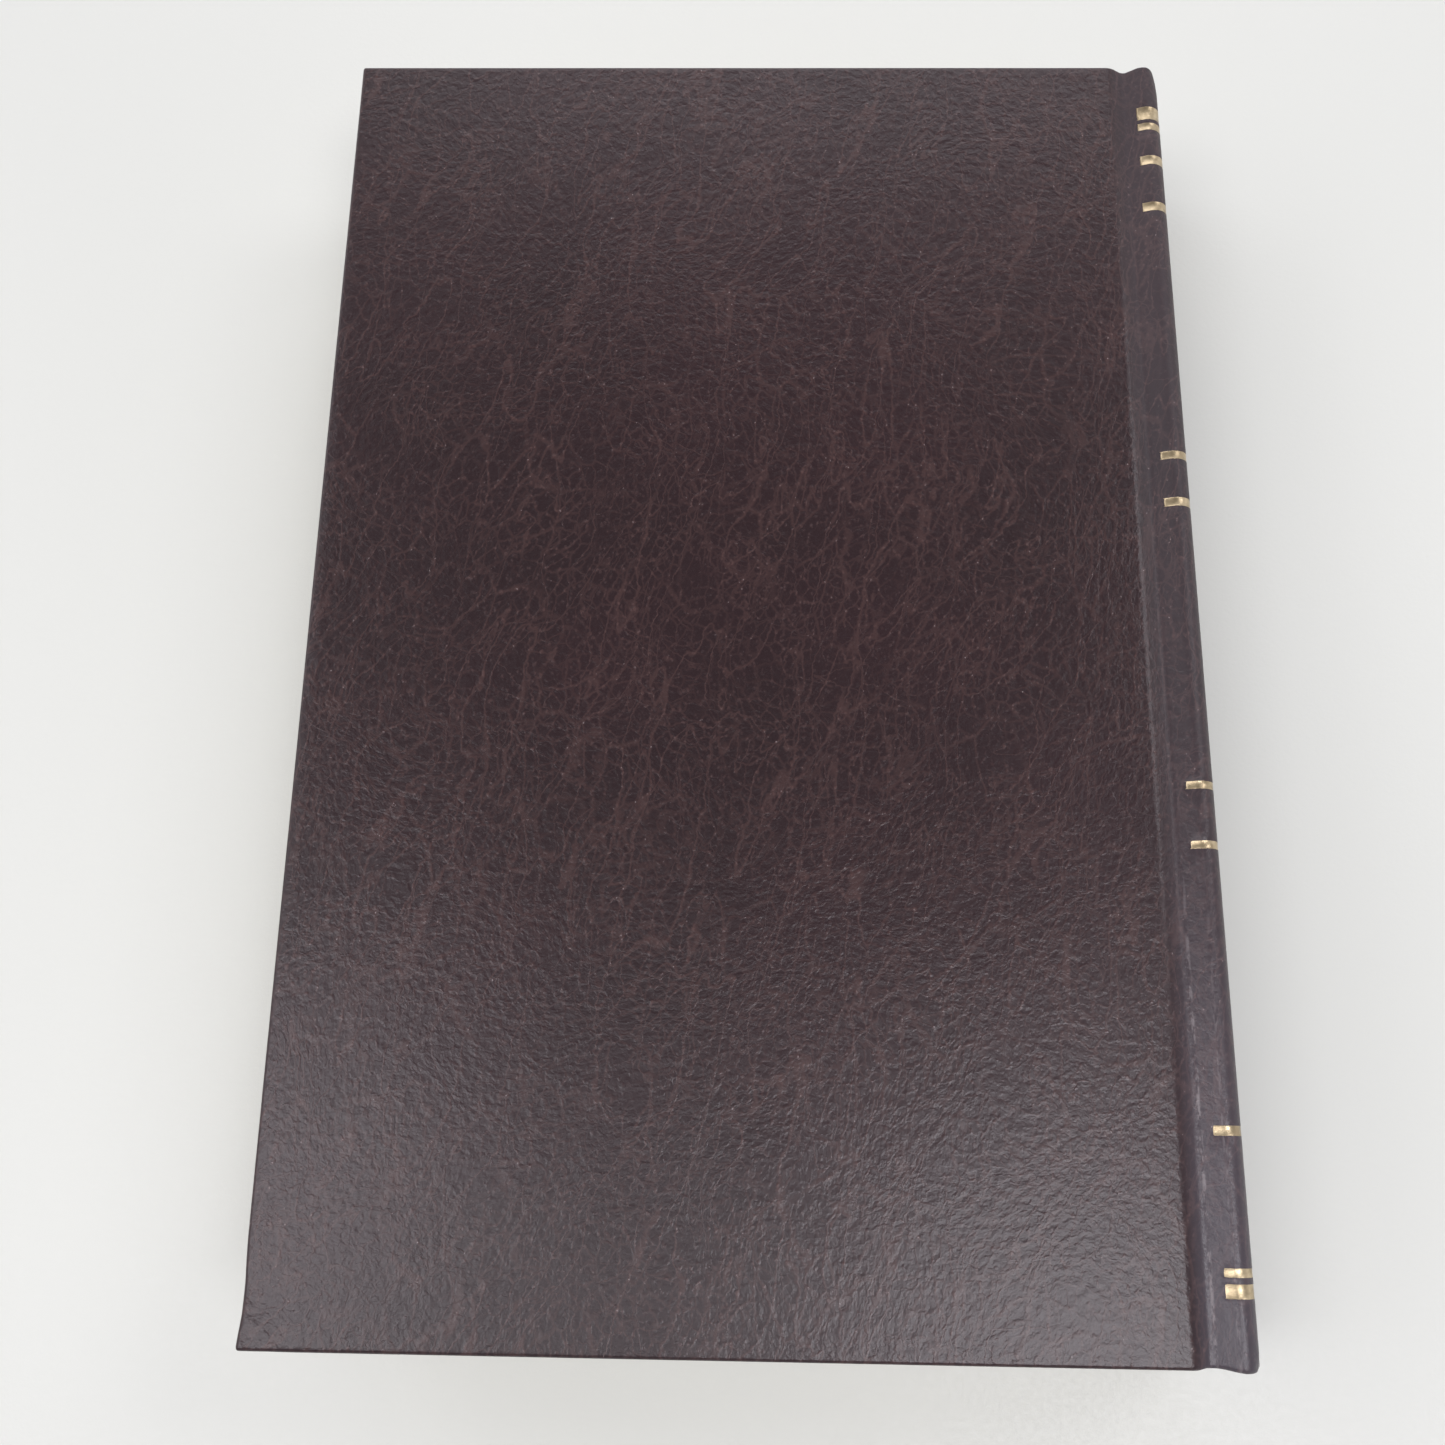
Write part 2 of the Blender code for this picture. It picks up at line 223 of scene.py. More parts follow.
def shiftBy(tree, source, noiseColour, amount):
    # push the texture place about by a coloured noise, to bend straight lines
    centre = addNode(tree, "ShaderNodeVectorMath", operation="SUBTRACT")
    link(tree, noiseColour, centre.inputs[0])
    centre.inputs[1].default_value = (0.5, 0.5, 0.5)
    scaled = addNode(tree, "ShaderNodeVectorMath", operation="SCALE")
    link(tree, centre.outputs[0], scaled.inputs[0])
    scaled.inputs["Scale"].default_value = amount
    added = addNode(tree, "ShaderNodeVectorMath", operation="ADD")
    link(tree, source, added.inputs[0])
    link(tree, scaled.outputs[0], added.inputs[1])
    return added.outputs[0]


def bump(tree, height, distance, strength=1.0, under=None):
    node = addNode(tree, "ShaderNodeBump")
    node.inputs["Distance"].default_value = distance
    node.inputs["Strength"].default_value = strength
    link(tree, height, node.inputs["Height"])
    if under is not None:
        link(tree, under, node.inputs["Normal"])
    return node.outputs["Normal"]


# ---------------------------------------------------------------- materials
leatherLook = {
    "ground": (0.0132, 0.0036, 0.0050),
    "raised": (0.050, 0.025, 0.025),
    "vein": (0.066, 0.032, 0.029),
    # painted highlight: colour of the bright glint specks
    "paintedGlint": (0.26, 0.22, 0.22),
    "roughness": 0.28,
    "jointDullness": 0.17,             # added roughness past the end of the board, at the head
    "paintedGlare": (0.029, 0.031, 0.038),    # painted glare: a grey reflection on the back, added to the colour
    "jointFrom": 145.6 * mm,
    "jointTo": 149.0 * mm,
    # light lines on the joint ridge and the shoulder crest: partly wear, partly painted highlight
    "rubAndHighlightColour": (0.20, 0.175, 0.18),
    "rubbedHighlightRidges": ((149.75 * mm, 0.75), (153.1 * mm, 0.35)),
    "rubHighlightStart": -20 * mm,
    "rubHighlightFull": -85 * mm,
    "pebble": 0.74 * mm,               # size of the fine grain
    "lean": math.radians(13),
}


def ridges(tree, source, scale, detail, width):
    # thin lines where a smooth noise passes through its middle value
    field = noiseField(tree, source, scale, detail, 0.45)
    away = maths(tree, "ABSOLUTE", maths(tree, "SUBTRACT", field, 0.5))
    return ramp(tree, away, 0.0, width, 1.0, 0.0)


def makeLeatherette(name, stored=True):
    look = leatherLook
    material, tree, shader = newMaterial(name)
    spot = place(tree, stored)
    slowBend = noiseField(tree, spot, 24.0, 2.0, colour=True)
    quickBend = noiseField(tree, spot, 240.0, 2.0, colour=True)
    fineBend = noiseField(tree, spot, 1100.0, 1.0, colour=True)
    bent = shiftBy(tree, spot, slowBend, 0.016)
    bent = shiftBy(tree, bent, quickBend, 0.0016)
    bent = shiftBy(tree, bent, fineBend, 0.0005)

    def drawn(lean, stretch, shift):
        leaned = mapping(tree, bent, turn=(0, 0, lean), shift=shift)
        return mapping(tree, leaned, scale=(1.0, stretch, 1.0))

    def fade(shift, scale, low, high):
        moved = mapping(tree, spot, shift=shift)
        return ramp(tree, noiseField(tree, moved, scale, 3.0), low, high)

    def creases(spacing, lean, stretch, width, shift):
        edge = voronoi(tree, drawn(lean, stretch, shift), 1.0 / spacing, "DISTANCE_TO_EDGE")
        return ramp(tree, edge, 0.0, width, 1.0, 0.0)

    # long creases up the cover, leaning towards the spine at the head, and finer ones across them
    lean = look["lean"]
    long = ridges(tree, drawn(lean, 0.15, (0.3, 0.1, 0)), 90.0, 2.5, 0.0100)
    longer = ridges(tree, drawn(lean * 2.0, 0.18, (5.3, 2.1, 0)), 100.0, 2.5, 0.0090)
    upright = ridges(tree, drawn(lean * 0.3, 0.18, (9.1, 4.1, 0)), 110.0, 2.5, 0.0080)
    branch = creases(6.0 * mm, lean * 1.2, 0.40, 0.050, (0.7, 0.4, 0))
    cross = ridges(tree, drawn(lean - 1.15, 0.30, (2.2, 7.1, 0)), 160.0, 2.5, 0.011)
    across = ridges(tree, drawn(lean + 1.0, 0.30, (8.2, 3.1, 0)), 160.0, 2.5, 0.010)
    net = creases(2.3 * mm, lean, 0.66, 0.10, (0.2, 0.9, 0))
    parts = [
        (long, 1.0, fade((0, 0, 0), 38.0, 0.26, 0.46)),
        (longer, 0.95, fade((3, 1, 0), 42.0, 0.30, 0.50)),
        (upright, 0.85, fade((7, 2, 0), 42.0, 0.32, 0.52)),
        (branch, 0.80, fade((1, 8, 0), 60.0, 0.40, 0.58)),
        (cross, 0.75, fade((4, 9, 0), 70.0, 0.42, 0.60)),
        (across, 0.65, fade((2, 5, 0), 70.0, 0.42, 0.60)),
        (net, 0.60, fade((6, 6, 0), 75.0, 0.30, 0.56)),
    ]
    veins = None
    for line, weight, mask in parts:
        line = maths(tree, "MULTIPLY", maths(tree, "MULTIPLY", line, mask), weight)
        veins = line if veins is None else maths(tree, "MAXIMUM", veins, line)

    # pebble grain: small rounded cells with dark valleys, some of them worn lighter
    grainPlace = mapping(tree, shiftBy(tree, spot, fineBend, 0.0006), turn=(0, 0, lean))
    grainPlace = mapping(tree, grainPlace, scale=(1.0, 0.75, 1.0))
    cells = voronoi(tree, grainPlace, 1.0 / look["pebble"], "F1", 1.0)
    pebbles = ramp(tree, cells, 0.12, 0.52, 1.0, 0.0)
    worn = ramp(tree, noiseField(tree, grainPlace, 1000.0, 1.0, 0.5), 0.42, 0.62)
    dots = maths(tree, "MULTIPLY", pebbles, worn)
    dust = noiseField(tree, spot, 3200.0, 2.0, 0.6)

    broad = noiseField(tree, spot, 16.0, 4.0, 0.55)
    ground = mixColour(tree, ramp(tree, broad, 0.35, 0.65), look["ground"],
                       tuple(c * 1.3 for c in look["ground"]))
    grainZone = fade((5, 3, 0), 45.0, 0.30, 0.62)
    grainShare = maths(tree, "MULTIPLY", dots, maths(tree, "ADD", 0.28, maths(tree, "MULTIPLY", grainZone, 0.30)))
    grained = mixColour(tree, grainShare, ground, look["raised"])
    broken = maths(tree, "ADD", 0.50, maths(tree, "MULTIPLY", dots, 0.50))
    coloured = mixColour(tree, maths(tree, "MULTIPLY", veins, broken), grained, look["vein"])
    # painted glints: tiny bright points of painted highlight where a crease crosses a raised grain
    paintedGlintCells = ramp(tree, cells, 0.02, 0.20, 1.0, 0.0)
    chosen = ramp(tree, noiseField(tree, mapping(tree, spot, shift=(2, 2, 0)), 1300.0, 0.0), 0.60, 0.70)
    nearVein = maths(tree, "ADD", 0.12, maths(tree, "MULTIPLY", veins, 1.0))
    paintedGlintShare = maths(tree, "MULTIPLY", maths(tree, "MULTIPLY", paintedGlintCells, chosen), nearVein)
    coloured = mixColour(tree, paintedGlintShare, coloured, look["paintedGlint"])
    # painted glare: a grey reflection added to the colour of the joint and the back, strongest at the tail
    ends = addNode(tree, "ShaderNodeSeparateXYZ")
    link(tree, spot, ends.inputs[0])
    onBack = ramp(tree, ends.outputs["X"], foreX + look["jointFrom"], foreX + look["jointTo"])
    lowest = ramp(tree, ends.outputs["Y"], -20 * mm, -112 * mm, 0.25, 1.0)
    coloured = mixColour(tree, maths(tree, "MULTIPLY", onBack, lowest), coloured, look["paintedGlare"], "ADD")
    # rubbed ridges of the joint and the shoulder, towards the tail: partly wear, partly painted highlight along
    # the crests
    towardTail = ramp(tree, ends.outputs["Y"], look["rubHighlightStart"], look["rubHighlightFull"])
    patchy = ramp(tree, noiseField(tree, mapping(tree, spot, scale=(1, 0.35, 1)), 900.0, 3.0, 0.7), 0.44, 0.60)
    for ridge, amount in look["rubbedHighlightRidges"]:
        off = maths(tree, "ABSOLUTE", maths(tree, "SUBTRACT", ends.outputs["X"], foreX + ridge))
        line = ramp(tree, off, 0.05 * mm, 0.42 * mm, 1.0, 0.0)
        share = maths(tree, "MULTIPLY", maths(tree, "MULTIPLY", line, patchy), towardTail)
        coloured = mixColour(tree, maths(tree, "MULTIPLY", share, amount), coloured, look["rubAndHighlightColour"])
    link(tree, coloured, shader.inputs["Base Color"])

    # the joint and the back are duller, from bending and handling
    split = addNode(tree, "ShaderNodeSeparateXYZ")
    link(tree, spot, split.inputs[0])
    joint = ramp(tree, split.outputs["X"], foreX + look["jointFrom"], foreX + look["jointTo"])
    joint = maths(tree, "MULTIPLY", joint, ramp(tree, split.outputs["Y"], 60 * mm, -95 * mm, 1.0, 0.25))
    rough = maths(tree, "ADD", look["roughness"], maths(tree, "MULTIPLY", dust, 0.10))
    rough = maths(tree, "ADD", rough, maths(tree, "MULTIPLY", joint, look["jointDullness"]))
    link(tree, rough, shader.inputs["Roughness"])
    shader.inputs["Specular IOR Level"].default_value = 0.5

    crumple = noiseField(tree, bent, 680.0, 2.5, 0.58)
    relief = maths(tree, "ADD", maths(tree, "MULTIPLY", dots, 0.35), maths(tree, "MULTIPLY", crumple, 2.8))
    relief = maths(tree, "ADD", relief, maths(tree, "MULTIPLY", veins, 0.22))
    link(tree, bump(tree, relief, 0.00004, 1.0), shader.inputs["Normal"])
    return material


def makeGoldFoil():
    material, tree, shader = newMaterial("goldFoil")
    spot = place(tree, True)
    crinkle = noiseField(tree, spot, 1500.0, 3.0, 0.6)
    blotch = noiseField(tree, spot, 420.0, 3.0, 0.6)
    colour = mixColour(tree, ramp(tree, blotch, 0.35, 0.65), (0.36, 0.285, 0.175), (0.56, 0.455, 0.290))
    worn = ramp(tree, noiseField(tree, spot, 700.0, 4.0, 0.7), 0.70, 0.76)
    colour = mixColour(tree, worn, colour, (0.16, 0.10, 0.06))
    link(tree, colour, shader.inputs["Base Color"])
    shader.inputs["Metallic"].default_value = 0.9
    rough = maths(tree, "ADD", 0.26, maths(tree, "MULTIPLY", crinkle, 0.16))
    link(tree, rough, shader.inputs["Roughness"])
    # the foil is smooth at the head and crinkled at the tail
    split = addNode(tree, "ShaderNodeSeparateXYZ")
    link(tree, spot, split.inputs[0])
    crinkled = ramp(tree, split.outputs["Y"], 70 * mm, -90 * mm, 0.12, 1.0)
    relief = maths(tree, "ADD", crinkle, maths(tree, "MULTIPLY", blotch, 2.0))
    relief = maths(tree, "MULTIPLY", relief, crinkled)
    link(tree, bump(tree, relief, 0.00004, 0.8), shader.inputs["Normal"])
    return material


def makePaper(name, colour, warmth=0.93, stored=True, edges=False):
    material, tree, shader = newMaterial(name)
    spot = place(tree, stored)
    mottled = noiseField(tree, spot, 60.0, 4.0, 0.6)
    fibres = noiseField(tree, mapping(tree, spot, scale=(1.0, 3.0, 1.0)), 900.0, 3.0, 0.7)
    aged = tuple(c * f for c, f in zip(colour, (warmth, warmth * 0.97, warmth * 0.90)))
    tinted = mixColour(tree, ramp(tree, mottled, 0.35, 0.70), colour, aged)
    flecked = mixColour(tree, ramp(tree, fibres, 0.55, 0.75, 0.0, 0.35), tinted, tuple(c * 0.86 for c in colour))
    relief = fibres
    distance = 0.00002
    if edges:
        # cut edges of the leaves: fine streaks that follow each leaf
        streaks = noiseField(tree, mapping(tree, spot, scale=(0.6, 0.6, 70.0)), 55.0, 3.0, 0.7)
        flecked = mixColour(tree, ramp(tree, streaks, 0.48, 0.68, 0.0, 0.40), flecked,
                            tuple(c * 0.74 for c in aged))
        relief = maths(tree, "ADD", fibres, maths(tree, "MULTIPLY", streaks, 2.0))
        distance = 0.00004
    link(tree, flecked, shader.inputs["Base Color"])
    link(tree, ramp(tree, mottled, 0.3, 0.7, 0.82, 0.92), shader.inputs["Roughness"])
    link(tree, bump(tree, relief, distance, 0.6), shader.inputs["Normal"])
    shader.inputs["Specular IOR Level"].default_value = 0.25
    return material


def makeCloth(name, light, dark, threads, stored=False):
    material, tree, shader = newMaterial(name)
    spot = place(tree, stored)
    along = addNode(tree, "ShaderNodeTexWave", wave_type="BANDS", bands_direction="Y")
    across = addNode(tree, "ShaderNodeTexWave", wave_type="BANDS", bands_direction="Z")
    for wave in (along, across):
        wave.inputs["Scale"].default_value = threads
        wave.inputs["Distortion"].default_value = 0.4
        link(tree, spot, wave.inputs["Vector"])
    weave = maths(tree, "MAXIMUM", along.outputs["Fac"], across.outputs["Fac"])
    colour = mixColour(tree, ramp(tree, weave, 0.3, 0.9), dark, light)
    link(tree, colour, shader.inputs["Base Color"])
    link(tree, ramp(tree, noiseField(tree, spot, 120.0), 0.3, 0.7, 0.80, 0.95), shader.inputs["Roughness"])
    link(tree, bump(tree, weave, 0.0001, 0.8), shader.inputs["Normal"])
    shader.inputs["Sheen Weight"].default_value = 0.2
    return material


def makeBoard(name, colour, speckColour):
    material, tree, shader = newMaterial(name)
    spot = place(tree, False)
    layers = noiseField(tree, mapping(tree, spot, scale=(1.0, 1.0, 40.0)), 90.0, 4.0, 0.7)
    specks = ramp(tree, noiseField(tree, spot, 1100.0, 2.0), 0.60, 0.68)
    base = mixColour(tree, ramp(tree, layers, 0.35, 0.65), colour, tuple(c * 0.8 for c in colour))
    link(tree, mixColour(tree, specks, base, speckColour), shader.inputs["Base Color"])
    link(tree, ramp(tree, layers, 0.3, 0.7, 0.88, 0.97), shader.inputs["Roughness"])
    link(tree, bump(tree, layers, 0.0001, 0.7), shader.inputs["Normal"])
    return material


announce("materials")
leatherette = makeLeatherette("darkLeatherette")
goldFoil = makeGoldFoil()
endpaperPaper = makePaper("creamEndpaper", (0.76, 0.71, 0.60), warmth=0.97)
leafPaper = makePaper("leafPaper", (0.80, 0.76, 0.66), warmth=0.98)
leafEdges = makePaper("leafEdges", (0.80, 0.76, 0.66), warmth=0.97, edges=True)
bandDark = makeCloth("endbandDark", (0.16, 0.035, 0.030), (0.08, 0.015, 0.014), 900.0, True)
bandLight = makeCloth("endbandLight", (0.78, 0.70, 0.52), (0.55, 0.47, 0.32), 900.0, True)
mullCloth = makeCloth("mullCloth", (0.80, 0.78, 0.72), (0.45, 0.43, 0.38), 700.0)
kraftPaper = makePaper("kraftPaper", (0.48, 0.35, 0.21), stored=False)
greyBoard = makeBoard("greyBoard", (0.24, 0.23, 0.21), (0.42, 0.40, 0.36))
cardBoard = makeBoard("spineCard", (0.34, 0.29, 0.23), (0.48, 0.42, 0.34))


# ---------------------------------------------------------------- mesh helpers
def meshPiece(name, vertices, faces, material, faceMaterials=None, sharp=40):
    mesh = bpy.data.meshes.new(name)
    mesh.from_pydata([tuple(v) for v in vertices], [], [tuple(f) for f in faces])
    mesh.validate()
    materials = material if isinstance(material, (list, tuple)) else [material]
    for item in materials:
        mesh.materials.append(item)
    if faceMaterials is not None:
        mesh.polygons.foreach_set("material_index", faceMaterials)
    mesh.shade_smooth()
    mesh.set_sharp_from_angle(angle=math.radians(sharp))
    piece = bpy.data.objects.new(name, mesh)
    bpy.context.collection.objects.link(piece)
    return piece


def storeRest(piece):
    mesh = piece.data
    attribute = mesh.attributes.get("restPlace") or mesh.attributes.new("restPlace", "FLOAT_VECTOR", "POINT")
    flat = np.zeros(len(mesh.vertices) * 3, np.float32)
    mesh.vertices.foreach_get("co", flat)
    attribute.data.foreach_set("vector", flat)


def applyModifiers(piece):
    graph = bpy.context.evaluated_depsgraph_get()
    done = bpy.data.meshes.new_from_object(piece.evaluated_get(graph))
    old = piece.data
    piece.modifiers.clear()
    piece.data = done
    bpy.data.meshes.remove(old)


def thicken(piece, thickness):
    solid = piece.modifiers.new("thickness", "SOLIDIFY")
    solid.thickness = thickness
    solid.offset = -1.0
    applyModifiers(piece)


def tidyNormals(piece):
    import bmesh
    bm = bmesh.new()
    bm.from_mesh(piece.data)
    bmesh.ops.recalc_face_normals(bm, faces=bm.faces)
    bm.to_mesh(piece.data)
    bm.free()


# ---------------------------------------------------------------- leather case
def backU(h):
    # the round of the back: straight flanks that turn into an arc over the crown
    s = section
    flank = math.atan(s["flankSlope"])
    shoulderU = s["lipU"] + s["lipRadius"] * math.cos(flank)
    shoulderH = topZ - midZ + s["lipRise"] - s["lipRadius"] * (1 - math.sin(flank))
    reach = shoulderU + s["flankSlope"] * shoulderH - s["crownU"]
    arcHalf = reach / (s["flankSlope"] - math.tan(flank / 2))
    if abs(h) >= arcHalf:
        return shoulderU + s["flankSlope"] * (shoulderH - abs(h))
    radius = arcHalf / math.sin(flank)
    return s["crownU"] - radius + math.sqrt(radius * radius - h * h)


def backPoints(high, low, steps):
    heights = [high + (low - high) * k / steps for k in range(steps + 1)]
    return [(backU(h), h) for h in heights]


def outlinePoints():
    # the outer leather in section, from the fore edge over the board, the joint and the shoulder,
    # as (u, h, kind): u from the fore edge, h above the middle of the thickness
    s = section
    top = topZ - midZ
    r = s["boardEndRadius"]
    endCentre = (s["boardEnd"] - r, top - r)
    groove = (s["grooveU"], top - s["grooveDepth"] + s["grooveRadius"])
    lip = (s["lipU"], top + s["lipRise"] - s["lipRadius"])
    backAngle = math.atan(s["flankSlope"])
    run, rise = lip[0] - groove[0], lip[1] - groove[1]
    slope = math.atan2(rise, run) + math.asin((s["lipRadius"] + s["grooveRadius"]) / math.hypot(run, rise))

    firstU = s["cornerRadius"]
    flatEnd = endCentre[0]
    flatSteps = 66
    board = []
    for k in range(flatSteps):
        # a little denser near both ends
        share = k / flatSteps
        share = share - 0.10 * math.sin(2 * math.pi * share) / (2 * math.pi)
        board.append((firstU + (flatEnd - firstU) * share, top))
    board += arcPoints(endCentre, r, math.pi / 2, s["boardEndAngle"], 6)
    wallEnd = circlePoint(groove, s["grooveRadius"], s["grooveStart"])
    joint = linePoints(board[-1], wallEnd, 3)
    joint += arcPoints(groove, s["grooveRadius"], s["grooveStart"], slope - math.pi / 2, 9)
    lipStart = circlePoint(lip, s["lipRadius"], slope + math.pi / 2)
    joint += linePoints(joint[-1], lipStart, 7)
    joint += arcPoints(lip, s["lipRadius"], slope + math.pi / 2, backAngle, 9)
    back = backPoints(joint[-1][1], s["seamHeight"], 4)[1:]
    return board, joint, back


boardOutline, jointOutline, backOutlinePart = outlinePoints()

goldWork = {
    # middle from the tail and width of each line, in mm
    "lines": [(224.2, 2.7), (221.2, 1.4), (213.7, 1.8), (203.5, 1.7), (152.0, 1.4), (142.9, 1.5),
              (91.2, 1.2), (81.0, 1.2), (35.2, 1.4), (14.1, 1.2), (11.4, 2.0)],
    "startU": 150.95 * mm,             # where the lines begin beyond the joint
    "headStartU": 151.4 * mm,          # the ones near the head begin a little further on
    "sunk": 0.06 * mm,                 # how deep the hot tool pressed
    "slope": 0.16 * mm,
    "foil": 0.03 * mm,
}


def goldRanges():
    ranges = []
    for number in range(1, len(goldWork["lines"]) + 1):
        low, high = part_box(f"gold_line_{number:02d}")
        ranges.append((low[1], high[1]))
    return ranges


goldEdges = goldRanges()


def goldStart(y):
    share = min(1.0, max(0.0, (y - 62 * mm) / (34 * mm)))
    return goldWork["startU"] + (goldWork["headStartU"] - goldWork["startU"]) * share


def pressDepth(y):
    # how far the leather is pressed in at this height by the gold lines
    deepest = 0.0
    for low, high in goldEdges:
        inside = min(y - low, high - y) + goldWork["slope"] / 2
        deepest = max(deepest, min(1.0, max(0.0, inside / goldWork["slope"])))
    return deepest * goldWork["sunk"]


def rowPlaces():
    rows = set()
    count = 96
    for k in range(count + 1):
        rows.add(round(tailY + bookHeight * k / count, 7))
    clear = 0.6 * mm
    for low, high in goldEdges:
        rows = {y for y in rows if not (low - clear < y < high + clear)}
    for low, high in goldEdges:
        half = goldWork["slope"] / 2
        rows |= {round(v, 7) for v in (low - half, low + half, (low + high) / 2, high - half, high + half)}
    # finer rows near head and tail, where the leather rolls over
    edge = [0.0, 0.4 * mm, 0.9 * mm, 1.6 * mm]
    rows |= {round(tailY + v, 7) for v in edge} | {round(headY - v, 7) for v in edge}
    return np.array(sorted(rows))


rowY = rowPlaces()


def skewAt(y):
    share = (y - tailY) / bookHeight
    return section["skew"] * (1 - 2 * share)


def dent(u, y, h):
    # knocked corner at the tail of the fore edge, and slight swells in the flat of the cover
    fromTail = y - tailY
    push = math.exp(-((fromTail - 9.0 * mm) / (4.5 * mm)) ** 2) * math.exp(-u / (9 * mm))
    flare = math.exp(-(fromTail / (3.2 * mm)) ** 2) * math.exp(-u / (5 * mm))
    du = 0.30 * mm * push - 0.40 * mm * flare
    fold = (u + fromTail - 6.0 * mm) / (1.6 * mm)
    near = math.exp(-(u * u + fromTail * fromTail) / (9 * mm) ** 2)
    dh = -0.30 * mm * math.exp(-fold * fold) * near
    dh -= 0.35 * mm * math.exp(-(u * u + fromTail * fromTail) / (4.5 * mm) ** 2)
    return du, dh


def endShift(u, y):
    # the leather is drawn in at both ends of the joint, and stands out a little below the shoulder
    fromTail, fromHead = y - tailY, headY - y
    into = min(1.0, max(0.0, (u - 147.0 * mm) / (1.3 * mm)))
    away = min(1.0, max(0.0, (152.0 * mm - u) / (2.4 * mm)))
    drawn = 0.42 * mm * into * away
    spineShare = min(1.0, max(0.0, (u - 150.5 * mm) / (3.0 * mm)))
    tailMove = drawn * 0.7 - 0.30 * mm * spineShare
    fade = 9 * mm
    if fromTail < fade:
        return tailMove * (1 - fromTail / fade) ** 2
    if fromHead < fade:
        return -drawn * (1 - fromHead / fade) ** 2
    return 0.0


def capRounding(h, y):
    # the shoulder's corner is drawn in at head and tail
    high = min(1.0, max(0.0, (abs(h) - 14 * mm) / (4 * mm)))
    atHead = max(0.0, 1 - (headY - y) / (6 * mm))
    atTail = max(0.0, 1 - (y - tailY) / (3 * mm))
    return -0.65 * mm * high * max(atHead, atTail * 0.8) ** 2


def swell(u, y):
    wave = noise.noise(Vector((u * 26, y * 22, 3.1)))
    fine = noise.noise(Vector((u * 120, y * 95, 7.7)))
    return 0.07 * mm * wave + 0.02 * mm * fine


def unitVectors(points):
    # inward normals of the section, to the left of travel towards the spine and down
    normals = []
    for k in range(len(points)):
        a = points[max(0, k - 1)]
        b = points[min(len(points) - 1, k + 1)]
        du, dh = b[0] - a[0], b[1] - a[1]
        size = math.hypot(du, dh)
        normals.append((dh / size, -du / size))
    return normals


wrapShape = {
    "arcSteps": 5,
    "turnIn": 15 * mm,
    "boardWrap": 3.8 * mm,             # board and both layers of leather
    "jointWrap": 1.0 * mm,
    "spineWrap": 1.4 * mm,
    "jointTurnIn": 12 * mm,
}


def wrapRing(r, h):
    # (outward, down) of each ring from the top edge round to the turn-in's face
    steps = wrapShape["arcSteps"]
    ring = []
    for k in range(1, steps + 1):
        angle = math.pi / 2 * k / steps
        ring.append((r * math.sin(angle), r * (1 - math.cos(angle))))
    ring.append((r, h / 2))
    for k in range(steps + 1):
        angle = math.pi / 2 * k / steps
        ring.append((r * math.cos(angle), h - r * (1 - math.sin(angle))))
    return ring


